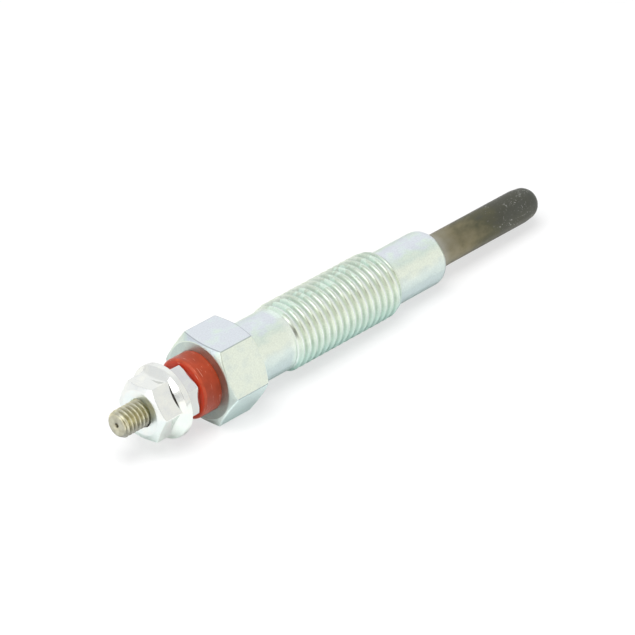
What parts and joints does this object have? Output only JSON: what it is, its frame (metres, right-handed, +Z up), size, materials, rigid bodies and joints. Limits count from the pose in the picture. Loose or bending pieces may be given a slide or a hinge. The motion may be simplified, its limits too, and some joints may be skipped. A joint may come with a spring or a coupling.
{
  "type": "diesel glow plug",
  "caption": "Sheathed diesel glow plug: threaded terminal stud with nuts, red insulating bush, hexagon shell with a thread and rounded nose, and a slim closed heater tube.",
  "frame": {"origin": "on the surface that the lower hexagon flat rests on, below the middle of the plug's length", "axes": "+X along the plug's axis from the terminal stud to the heater tip, +Z up, square to the flat that it rests on"},
  "size_m": [0.082, 0.0138, 0.012],
  "materials": {
    "zinc_plate": "satin white zinc plate with faint green and violet tints",
    "bright_zinc": "bright white zinc plate",
    "rod_steel": "turned and rolled steel, grey",
    "red_moulding": "moulded, half gloss, brick red",
    "black_rubber": "moulded rubber",
    "heater_alloy": "annealed heat-resisting alloy, dark olive to grey",
    "coil_alloy": "drawn resistance wire",
    "pressed_powder": "compacted mineral powder"
  },
  "bodies": {
    "root": {"centre_rod": "rod_steel", "terminal_nut": "bright_zinc", "jam_nut": "bright_zinc", "insulating_bush": "red_moulding", "plug_shell": "zinc_plate", "o_ring": "black_rubber", "heater_tube": "heater_alloy", "tube_seal": "black_rubber", "control_coil": "coil_alloy", "heating_coil": "coil_alloy", "insulating_powder": "pressed_powder"}
  },
  "joints": []
}
